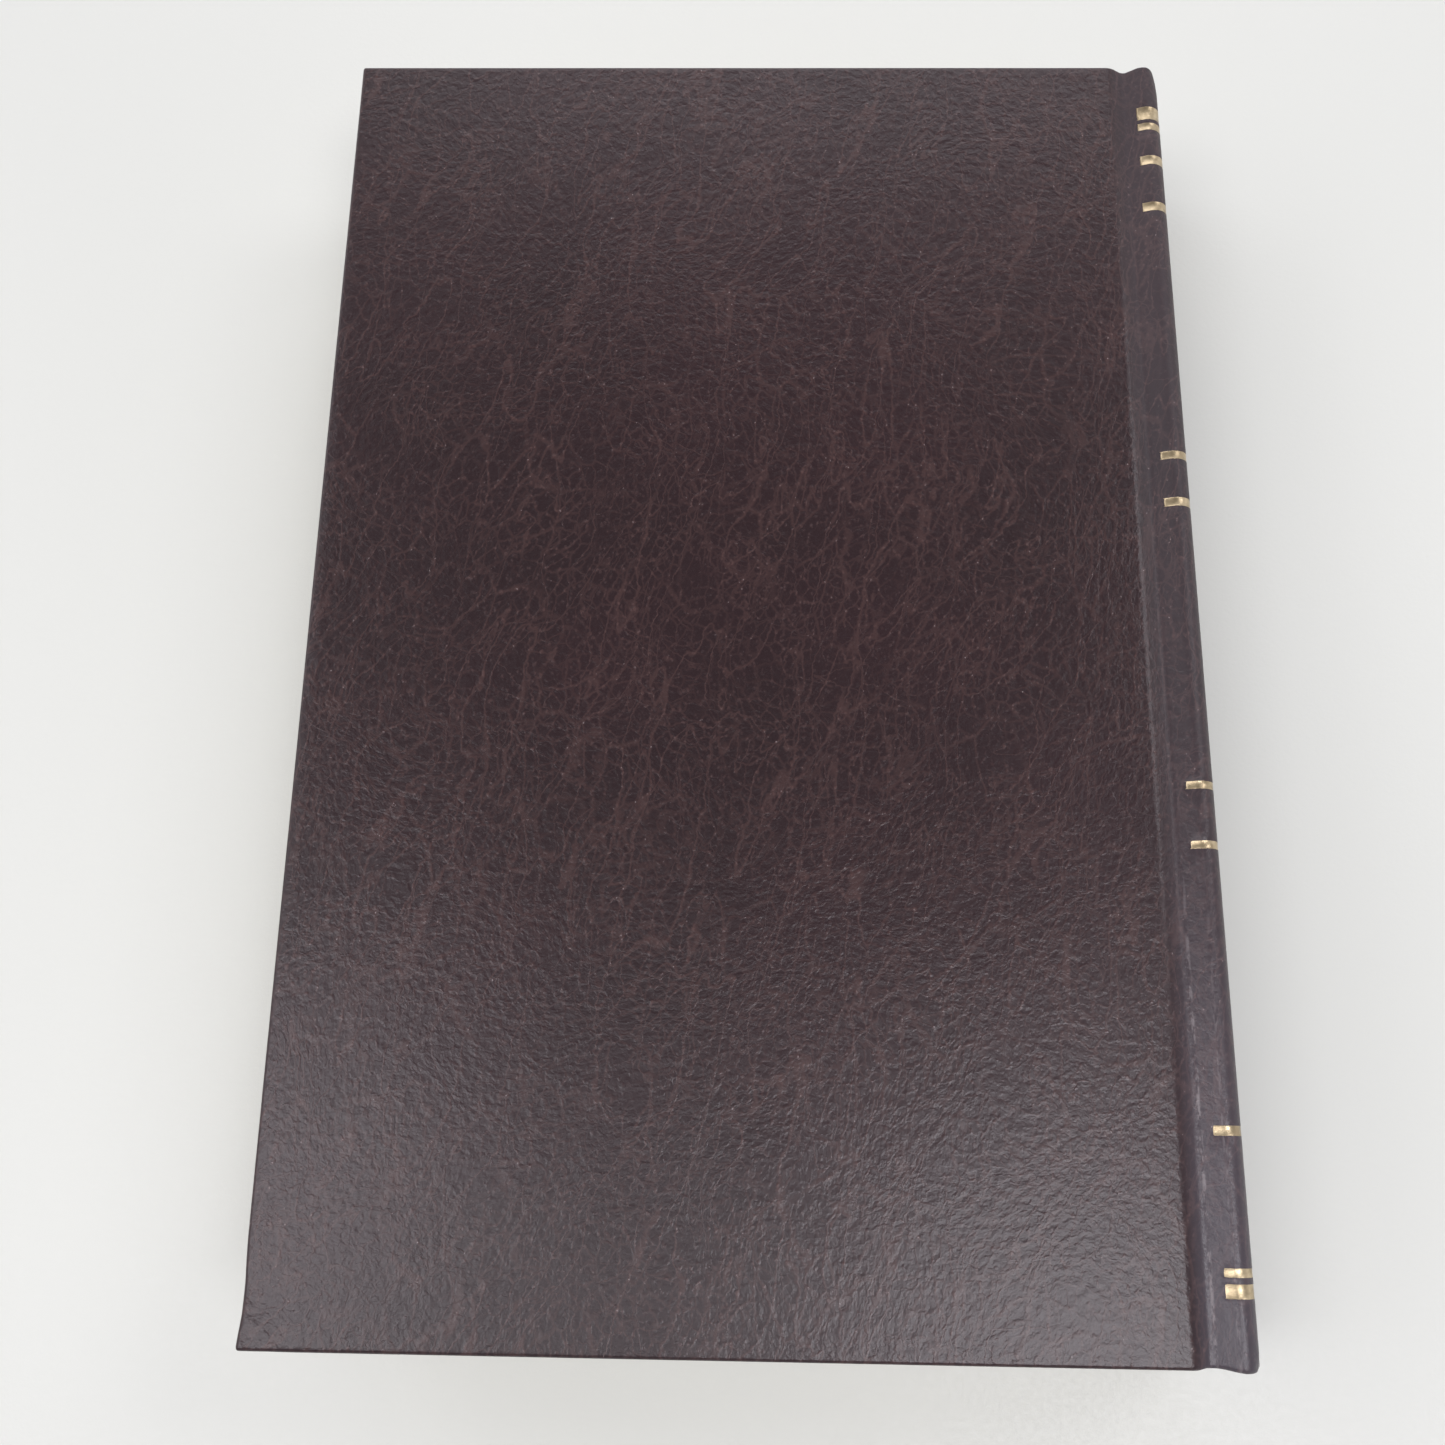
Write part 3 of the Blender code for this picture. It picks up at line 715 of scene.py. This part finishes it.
def sideLeather(side):
    # one half of the case: cover, joint and shoulder in a single sheet
    points = boardOutline + jointOutline + backOutlinePart
    columns = len(points)
    boardColumns = len(boardOutline)
    normals = unitVectors(points)
    rows = len(rowY)
    wraps, radii, downs, turnIns = [], [], [], []
    firstWall = boardColumns + 2
    for k, (u, h) in enumerate(points):
        if k < boardColumns:
            wraps.append(wrapShape["boardWrap"] - ((topZ - midZ) - h))
            downs.append((0.0, -1.0))
            radii.append(section["cornerRadius"])
            turnIns.append(wrapShape["turnIn"])
            continue
        blendIn = min(1.0, (k - boardColumns) / 14)
        thickness = wrapShape["jointWrap"] + (wrapShape["spineWrap"] - wrapShape["jointWrap"]) * blendIn
        wraps.append(thickness)
        downs.append(normals[k])
        radii.append(thickness * 0.48)
        turnIns.append(wrapShape["jointTurnIn"])

    def section2World(u, h, y):
        return Vector((foreX + u, y, midZ + side * h))

    def surface(k, y):
        u, h = points[k]
        if k < boardColumns:
            du, dh = dent(u, y, h) if side > 0 else (0.0, 0.0)
            settle = min(1.0, (section["boardEnd"] - u) / (4 * mm))
            rise = min(0.0, swell(u, y * side + 0.3 * (1 - side))) * settle
            return u + du, h + dh + rise
        reach = min(1.0, (u - section["boardEnd"]) / (3.0 * mm))
        u = u + skewAt(y) * max(0.0, reach)
        if points[k][0] > section["lipU"]:
            share = min(1.0, (points[k][0] - section["lipU"]) / (2 * mm))
            u += capRounding(h, y) * share
        pressed = 0.0
        past = points[k][0] - goldStart(y)
        if past > 0:
            pressed = pressDepth(y) * min(1.0, past / (0.4 * mm))
        down = normals[k]
        return u + down[0] * pressed, h + down[1] * pressed

    vertices, faces = [], []
    grid = np.zeros((columns, rows), int)
    for k in range(columns):
        r = radii[k]
        squeeze = (bookHeight - 2 * r) / bookHeight
        middle = (headY + tailY) / 2
        for j, y in enumerate(rowY):
            # only the outermost rows move, so that the pressed lines stay in place
            near = min(y - tailY, headY - y)
            pull = r * max(0.0, 1 - near / (8 * mm))
            placed = y + pull if y < middle else y - pull
            placed += endShift(points[k][0], y)
            u, h = surface(k, placed)
            grid[k, j] = len(vertices)
            vertices.append(section2World(u, h, placed))
    for k in range(columns - 1):
        for j in range(rows - 1):
            faces.append((grid[k, j], grid[k + 1, j], grid[k + 1, j + 1], grid[k, j + 1]))

    # border from the spine end of the tail, round the fore edge, to the spine end of the head
    border = []
    for k in range(columns - 1, 0, -1):
        border.append((grid[k, 0], k, (0.0, -1.0), (0.0, 1.0), points[k][0] - points[0][0]))
    for k in range(5):
        angle = math.pi / 2 * k / 4
        border.append((grid[0, 0], 0, (-math.sin(angle), -math.cos(angle)), (0.0, 0.0), 0.0))
    for j in range(1, rows - 1):
        reach = min(rowY[j] - rowY[0], rowY[-1] - rowY[j])
        border.append((grid[0, j], 0, (-1.0, 0.0), (1.0, 0.0), reach))
    for k in range(5):
        angle = math.pi / 2 * k / 4
        border.append((grid[0, rows - 1], 0, (-math.cos(angle), math.sin(angle)), (0.0, 0.0), 0.0))
    for k in range(1, columns):
        border.append((grid[k, rows - 1], k, (0.0, 1.0), (0.0, -1.0), points[k][0] - points[0][0]))

    rings = []
    for start, k, outward, inward, reach in border:
        base = vertices[start]
        r, h = radii[k], wraps[k]
        down = Vector((downs[k][0], 0.0, side * downs[k][1]))
        chain = [start]
        for out, deep in wrapRing(r, h):
            chain.append(len(vertices))
            vertices.append(base + Vector((outward[0], outward[1], 0.0)) * out + down * deep)
        depth = min(turnIns[k], max(0.0, reach))
        for share in (0.5, 1.0):
            chain.append(len(vertices))
            move = Vector((inward[0], inward[1], 0.0)) * depth * share
            vertices.append(base + down * h + move)
        rings.append(chain)
    for near, far in zip(rings, rings[1:]):
        for k in range(len(near) - 1):
            quad = [far[k], far[k + 1], near[k + 1], near[k]]
            if quad[0] == quad[3]:
                quad = quad[:3]
            faces.append(tuple(quad))
    name = "backCoverLeather" if side > 0 else "frontCoverLeather"
    if side < 0:
        faces = [tuple(reversed(face)) for face in faces]
    piece = meshPiece(name, vertices, faces, leatherette, sharp=60)
    return piece


def checkOutward(piece, point, direction):
    # turn the sheet over if the face nearest the point looks the wrong way
    nearest = min(piece.data.polygons, key=lambda face: (face.center - point).length)
    if nearest.normal.dot(direction) < 0:
        piece.data.flip_normals()


leatherThickness = 0.35 * mm


def finishLeather(piece, point, direction):
    checkOutward(piece, point, direction)
    thicken(piece, leatherThickness)
    piece.data.shade_smooth()
    piece.data.set_sharp_from_angle(angle=math.radians(60))
    storeRest(piece)


def makeSideLeathers():
    for side, sideName in ((1, "back"), (-1, "front")):
        piece = sideLeather(side)
        topPoint = Vector((foreX + 70 * mm, 0.0, midZ + side * (topZ - midZ)))
        finishLeather(piece, topPoint, Vector((0, 0, side)))
        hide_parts(f"{sideName}_cover_leather", f"{sideName}_joint_leather")
        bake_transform(piece)


def spineLeather():
    # the round of the back between the two seams, turned in at head and tail
    points = backPoints(section["seamHeight"], -section["seamHeight"], 44)
    normals = unitVectors(points)
    thickness = wrapShape["spineWrap"]
    r = thickness * 0.48
    vertices, faces = [], []
    columns, rows = len(points), len(rowY)
    grid = np.zeros((columns, rows), int)
    middle = (headY + tailY) / 2
    for k, (u, h) in enumerate(points):
        for j, y in enumerate(rowY):
            near = min(y - tailY, headY - y)
            pull = r * max(0.0, 1 - near / (8 * mm))
            placed = y + pull if y < middle else y - pull
            placed += endShift(u, y)
            pressed = pressDepth(placed)
            grid[k, j] = len(vertices)
            across = foreX + u + skewAt(placed) + capRounding(h, placed) + normals[k][0] * pressed
            vertices.append(Vector((across, placed, midZ + h + normals[k][1] * pressed)))
    for k in range(columns - 1):
        for j in range(rows - 1):
            faces.append((grid[k, j], grid[k + 1, j], grid[k + 1, j + 1], grid[k, j + 1]))
    for j, outward in ((0, -1.0), (rows - 1, 1.0)):
        rings = []
        for k in range(columns):
            base = vertices[grid[k, j]]
            down = Vector((normals[k][0], 0.0, normals[k][1]))
            chain = [grid[k, j]]
            for out, deep in wrapRing(r, thickness):
                chain.append(len(vertices))
                vertices.append(base + Vector((0, outward * out, 0)) + down * deep)
            chain.append(len(vertices))
            vertices.append(base + down * thickness - Vector((0, outward, 0)) * wrapShape["jointTurnIn"])
            rings.append(chain)
        for near, far in zip(rings, rings[1:]):
            for m in range(len(near) - 1):
                quad = (near[m], near[m + 1], far[m + 1], far[m])
                faces.append(quad if outward < 0 else tuple(reversed(quad)))
    piece = meshPiece("spineLeather", vertices, faces, leatherette, sharp=60)
    finishLeather(piece, Vector((crownX, 0.0, midZ)), Vector((1, 0, 0)))
    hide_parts("spine_leather")
    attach(piece, "text_block")
    return piece


def makeGoldLine(number):
    # foil laid in the pressed line, climbing a little way up both sides of it
    low, high = goldEdges[number - 1]
    startU = goldStart(low)
    outline = [p for p in jointOutline if p[0] > startU + 0.1 * mm] + backOutlinePart[:-1]
    before = [p for p in jointOutline if p[0] <= startU + 0.1 * mm][-1]
    share = (startU - before[0]) / (outline[0][0] - before[0])
    outline.insert(0, (startU, before[1] + (outline[0][1] - before[1]) * share))
    outline += backPoints(section["seamHeight"], 0.0, 22)
    lowerHalf = [(u, -h) for u, h in reversed(outline[:-1])]
    outline = outline + lowerHalf
    normals = unitVectors(outline)
    half = goldWork["slope"] / 2
    profile = [(-half * 0.8, -0.012 * mm), (-half * 0.2, 0.0), (half, goldWork["sunk"] - goldWork["foil"]),
               (None, goldWork["sunk"] - goldWork["foil"] * 1.3)]
    across = [(low + a, d) for a, d in profile[:3]]
    across.append(((low + high) / 2, profile[3][1]))
    across += [(high - a, d) for a, d in reversed(profile[:3])]
    vertices, faces = [], []
    for k, (u, h) in enumerate(outline):
        for j, (y, deep) in enumerate(across):
            ragged = noise.noise(Vector((k * 0.9, j * 3.0, number * 5.0)))
            edge = j in (0, len(across) - 1)
            placed = y + (ragged * 0.05 * mm if edge else 0.0)
            lift = deep - 0.012 * mm * noise.noise(Vector((k * 0.8, j * 1.7, number * 3.3)))
            vertices.append(Vector((foreX + u + skewAt(placed) + normals[k][0] * lift, placed,
                                    midZ + h + normals[k][1] * lift)))
    wide = len(across)
    for k in range(len(outline) - 1):
        for j in range(wide - 1):
            a = k * wide + j
            faces.append((a, a + wide, a + wide + 1, a + 1))
    piece = meshPiece(f"goldLine{number:02d}", vertices, faces, goldFoil, sharp=80)
    checkOutward(piece, Vector((crownX, (low + high) / 2, midZ)), Vector((1, 0, 0)))
    thicken(piece, 0.015 * mm)
    storeRest(piece)
    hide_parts(f"gold_line_{number:02d}")
    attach(piece, "text_block")


announce("leather case")
makeSideLeathers()
spineLeather()
for lineNumber in range(1, len(goldEdges) + 1):
    makeGoldLine(lineNumber)


# ---------------------------------------------------------------- leaves
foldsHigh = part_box("sewn_folds")[1]
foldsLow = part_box("sewn_folds")[0]
leafBlock = {
    "count": 16,
    "leavesEach": 9,
    "halfThickness": 15.3 * mm,
    "shoulderHalf": (foldsHigh[2] - foldsLow[2]) / 2 + 0.1 * mm,
    "bendStart": 145.5 * mm,
    "foldRadius": foldsHigh[0] - foreX - (cadHigh[0] - foreX - 38.5 * mm),
    "ragged": 0.10 * mm,
}
leafTail = foldsLow[1]
leafHead = foldsHigh[1]
foldCentreU = cadHigh[0] - foreX - 38.5 * mm


def foldReach(h):
    return math.sqrt(leafBlock["foldRadius"] ** 2 - h * h)


def leafHeight(share, u):
    # height of a leaf boundary: flat through the block, rising into the backed shoulder
    flat = share * leafBlock["halfThickness"]
    shoulder = share * leafBlock["shoulderHalf"]
    end = foldCentreU + foldReach(shoulder)
    bend = min(1.0, max(0.0, (u - leafBlock["bendStart"]) / (end - leafBlock["bendStart"])))
    return flat + (shoulder - flat) * bend ** 2.2


def leafFore(share):
    outer = foldReach(leafBlock["shoulderHalf"])
    return 3.5 * mm + foldReach(share * leafBlock["shoulderHalf"]) - outer


def makeGathering(number):
    vertices, faces, finishes = [], [], []
    leaves = leafBlock["leavesEach"]
    gap = 0.006 * mm
    for leaf in range(leaves):
        lowShare = 2 * (number - 1 + leaf / leaves) / leafBlock["count"] - 1
        highShare = 2 * (number - 1 + (leaf + 1) / leaves) / leafBlock["count"] - 1
        middle = (lowShare + highShare) / 2
        jitter = [noise.noise(Vector((number * 7.3 + leaf * 3.1, k * 11.7, 0.5))) * leafBlock["ragged"]
                  for k in range(3)]
        startU = leafFore(middle) + jitter[0]
        endU = foldCentreU + foldReach(middle * leafBlock["shoulderHalf"]) - 0.05 * mm
        # folded backs are rounded: inner leaves of a gathering stop short of the outer ones
        along = abs(leaf - (leaves - 1) / 2) / ((leaves - 1) / 2)
        endU -= 0.35 * mm * along ** 3
        places = [startU + (110 * mm - startU) * k / 8 for k in range(8)]
        places += [110 * mm + (leafBlock["bendStart"] - 110 * mm) * k / 12 for k in range(12)]
        places += [leafBlock["bendStart"] + (endU - leafBlock["bendStart"]) * k / 7 for k in range(8)]
        first = len(vertices)
        tail, head = leafTail + jitter[1], leafHead + jitter[2]
        for u in places:
            low = leafHeight(lowShare, u) + gap
            high = leafHeight(highShare, u) - gap
            for y, h in ((tail, low), (head, low), (head, high), (tail, high)):
                vertices.append((foreX + u, y, midZ + h))
        for k in range(len(places) - 1):
            a = first + 4 * k
            for c in range(4):
                d = (c + 1) % 4
                faces.append((a + c, a + 4 + c, a + 4 + d, a + d))
                finishes.append(c % 2)              # flat of the leaf, or its cut edge
        last = first + 4 * (len(places) - 1)
        faces.append((first, first + 1, first + 2, first + 3))
        faces.append((last + 3, last + 2, last + 1, last))
        finishes += [1, 1]
    piece = meshPiece(f"gathering{number:02d}", vertices, faces, (leafPaper, leafEdges), finishes, sharp=30)
    tidyNormals(piece)
    piece.data.shade_smooth()
    piece.data.set_sharp_from_angle(angle=math.radians(30))
    storeRest(piece)
    node = f"gathering_{number:02d}"
    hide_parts(node)
    if number == 8:
        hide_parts("sewn_folds")
    if node in frame["bodies"]:
        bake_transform(piece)
    else:
        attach(piece, "text_block")


announce("leaves")
for gatheringNumber in range(1, leafBlock["count"] + 1):
    makeGathering(gatheringNumber)


# ---------------------------------------------------------------- endpapers
endpaperShape = {
    "thickness": 0.10 * mm,
    "foreSquare": 4.0 * mm,
    "headSquare": 3.6 * mm,
    "turnInRidge": 0.30 * mm,
    "fold": 149.3 * mm,
}


def endpaperSheet(name, side, heightAt, startU, endU, headGap, denseFrom):
    columns = [startU + (denseFrom - startU) * k / 46 for k in range(46)]
    columns += [denseFrom + (endU - denseFrom) * k / 24 for k in range(25)]
    rows = [tailY + headGap + (bookHeight - 2 * headGap) * k / 70 for k in range(71)]
    vertices = [Vector((foreX + u, y, midZ + side * heightAt(u, y))) for u in columns for y in rows]
    faces = []
    wide = len(rows)
    for k in range(len(columns) - 1):
        for j in range(wide - 1):
            a = k * wide + j
            face = (a, a + wide, a + wide + 1, a + 1)
            faces.append(face if side > 0 else tuple(reversed(face)))
    piece = meshPiece(name, vertices, faces, endpaperPaper, sharp=50)
    thicken(piece, endpaperShape["thickness"])
    piece.data.shade_smooth()
    piece.data.set_sharp_from_angle(angle=math.radians(50))
    storeRest(piece)
    return piece


def pastedownHeight(u, y):
    # paper over the turn-ins, sinking onto the board inside them, then down the joint
    inner = topZ - midZ - 3.97 * mm
    inset = min(u, y - tailY, headY - y) - wrapShape["turnIn"]
    sunk = min(1.0, max(0.0, inset / (2.0 * mm) + 0.5))
    level = inner + endpaperShape["turnInRidge"] * (sunk * sunk * (3 - 2 * sunk))
    if u > 146.6 * mm:
        low = leafHeight(1.0, u) + 0.28 * mm
        share = min(1.0, (u - 146.6 * mm) / (1.4 * mm))
        share = share * share * (3 - 2 * share)
        level = level + (low - level) * share
    return level


def flyleafHeight(u, y):
    rest = noise.noise(Vector((u * 30, y * 25, 1.7))) * 0.02 * mm
    return leafHeight(1.0, u) + 0.16 * mm + rest


def makeEndpapers():
    for side, sideName in ((1, "back"), (-1, "front")):
        fold = endpaperShape["fold"]
        sheet = endpaperSheet(f"{sideName}Pastedown", side, pastedownHeight, endpaperShape["foreSquare"],
                              fold, endpaperShape["headSquare"], 144 * mm)
        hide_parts(f"{sideName}_pastedown")
        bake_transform(sheet)
        leaf = endpaperSheet(f"{sideName}Flyleaf", side, flyleafHeight, 3.8 * mm, fold, 3.0 * mm, 125 * mm)
        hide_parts(f"{sideName}_flyleaf")
        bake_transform(leaf)


announce("endpapers")
makeEndpapers()


# ---------------------------------------------------------------- endbands
endbandShape = {"core": 0.82 * mm, "thread": 0.17 * mm, "wraps": 64, "stripe": 4}


def makeEndband(name, node, sign):
    low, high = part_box(node)
    centreY = (low[1] + high[1]) / 2
    pathRadius = 35.0 * mm
    halfAngle = math.radians(27)
    vertices, faces, kinds = [], [], []

    def tube(path, radius, sides, kind):
        first = len(vertices)
        count = len(path)
        for k in range(count):
            a, b = path[max(0, k - 1)], path[min(count - 1, k + 1)]
            forward = (b - a).normalized()
            helper = Vector((0, 1, 0)) if abs(forward.y) < 0.9 else Vector((1, 0, 0))
            out = forward.cross(helper).normalized()
            up = out.cross(forward)
            for c in range(sides):
                angle = 2 * math.pi * c / sides
                vertices.append(path[k] + (out * math.cos(angle) + up * math.sin(angle)) * radius)
        for k in range(count - 1):
            for c in range(sides):
                d = (c + 1) % sides
                a = first + k * sides
                faces.append((a + c, a + d, a + sides + d, a + sides + c))
                kinds.append(kind)
        faces.append(tuple(first + c for c in reversed(range(sides))))
        faces.append(tuple(first + (count - 1) * sides + c for c in range(sides)))
        kinds.extend((kind, kind))

    def bandPlace(turn, around, radius):
        reach = pathRadius + radius * math.cos(around)
        return Vector((foreX + foldCentreU + reach * math.cos(turn), centreY + sign * radius * math.sin(around),
                       midZ + reach * math.sin(turn)))

    core = [bandPlace(halfAngle * (1 - 2 * k / 40), 0.0, 0.0) for k in range(41)]
    tube(core, endbandShape["core"], 10, 0)
    for wrap in range(endbandShape["wraps"]):
        kind = (wrap // endbandShape["stripe"]) % 2
        turn = halfAngle * (1 - 2 * (wrap + 0.5) / endbandShape["wraps"]) * 0.985
        path = []
        for k in range(13):
            around = math.radians(-70) + math.radians(320) * k / 12
            lean = math.radians(0.25) * (k / 12 - 0.5)
            path.append(bandPlace(turn + lean, around, endbandShape["core"] + endbandShape["thread"] * 0.6))
        tube(path, endbandShape["thread"], 6, kind)
    piece = meshPiece(name, vertices, faces, [bandLight, bandDark], kinds, sharp=60)
    storeRest(piece)
    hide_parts(node)
    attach(piece, "text_block")


announce("endbands")
makeEndband("headBand", "head_band", 1)
makeEndband("tailBand", "tail_band", -1)


# ---------------------------------------------------------------- carried-over pieces
def repaint(node, material):
    item = frame["nodes"][node]
    for slotIndex in range(len(item.material_slots)):
        item.material_slots[slotIndex].material = material


repaint("mull", mullCloth)
repaint("spine_lining", kraftPaper)
repaint("spine_inlay_card", cardBoard)
repaint("back_board", greyBoard)
repaint("front_board", greyBoard)


# ---------------------------------------------------------------- studio
studio = {
    "tableSize": 4.0,
    "tableColour": (0.66, 0.67, 0.625),
    "overhead": 0.06,
    "walls": 1.4,
    "lightColour": (0.965, 0.950, 1.0),
    # place, size and power of each
    "softboxes": {
        "leftSoftbox": ((-0.47, -0.20, 1.1), (0.44, 0.44), 3.8),
        "rightSoftbox": ((0.30, -0.32, 1.1), (0.44, 0.44), 5.5),
        "headSoftbox": ((0.05, 1.32, 1.1), (1.3, 0.4), 5.4),
        "leftFill": ((-0.85, 0.45, 1.1), (0.5, 0.5), 1.3),
        "leftPanel": ((-1.35, 0.35, 1.1), (2.2, 0.6), 5.5),
        "rightFill": ((0.85, 0.45, 1.1), (0.5, 0.5), 3.5),
    },
}


def makeTable():
    half = studio["tableSize"] / 2
    mesh = bpy.data.meshes.new("table")
    drop = -0.05 * mm
    mesh.from_pydata([(-half, -half, drop), (half, -half, drop), (half, half, drop), (-half, half, drop)],
                     [], [(0, 1, 2, 3)])
    table = bpy.data.objects.new("table", mesh)
    bpy.context.collection.objects.link(table)
    material, tree, shader = newMaterial("paleTable")
    spot = place(tree, False)
    grain = noiseField(tree, spot, 950.0, 3.0, 0.6)
    patches = noiseField(tree, spot, 3.0, 2.0)
    colour = mixColour(tree, ramp(tree, patches, 0.3, 0.7), studio["tableColour"],
                       tuple(c * 0.97 for c in studio["tableColour"]))
    link(tree, colour, shader.inputs["Base Color"])
    link(tree, ramp(tree, grain, 0.3, 0.7, 0.38, 0.50), shader.inputs["Roughness"])
    link(tree, bump(tree, grain, 0.00008, 0.5), shader.inputs["Normal"])
    mesh.materials.append(material)


def makeSoftbox(name, place, target, size, power, colour=(1, 1, 1)):
    light = bpy.data.lights.new(name, "AREA")
    light.shape = "RECTANGLE"
    light.size, light.size_y = size
    light.energy = power
    light.color = colour
    item = bpy.data.objects.new(name, light)
    bpy.context.collection.objects.link(item)
    item.location = place
    aim = (Vector(target) - Vector(place)).to_track_quat("-Z", "Y")
    item.rotation_euler = aim.to_euler()


def makeLights():
    # a dome of pale walls: dim overhead, brighter towards the horizon
    world = bpy.data.worlds.new("studioAir")
    world.use_nodes = True
    tree = world.node_tree
    direction = addNode(tree, "ShaderNodeTexCoord").outputs["Generated"]
    split = addNode(tree, "ShaderNodeSeparateXYZ")
    link(tree, direction, split.inputs[0])
    low = maths(tree, "SUBTRACT", 1.0, maths(tree, "ABSOLUTE", split.outputs["Z"]))
    wall = maths(tree, "POWER", low, 1.3)
    background = tree.nodes["Background"]
    background.inputs["Color"].default_value = (*studio["lightColour"], 1.0)
    link(tree, ramp(tree, wall, 0.0, 1.0, studio["overhead"], studio["walls"], False),
         background.inputs["Strength"])
    bpy.context.scene.world = world
    for name, (place, size, power) in studio["softboxes"].items():
        makeSoftbox(name, place, (0, 0, 0), size, power, studio["lightColour"])


def makeCamera():
    data = bpy.data.cameras.new("bookCamera")
    data.sensor_width = 36.0
    data.lens = 36.87
    camera = bpy.data.objects.new("bookCamera", data)
    camera.location = (-0.85 * mm, -86.06 * mm, 283.38 * mm)
    camera.rotation_euler = (math.radians(16.02), math.radians(1.138), math.radians(0.939))
    data.clip_start = 0.01
    bpy.context.collection.objects.link(camera)
    bpy.context.scene.camera = camera


announce("studio")
makeTable()
makeLights()
makeCamera()
bpy.context.scene.view_settings.view_transform = "Standard"
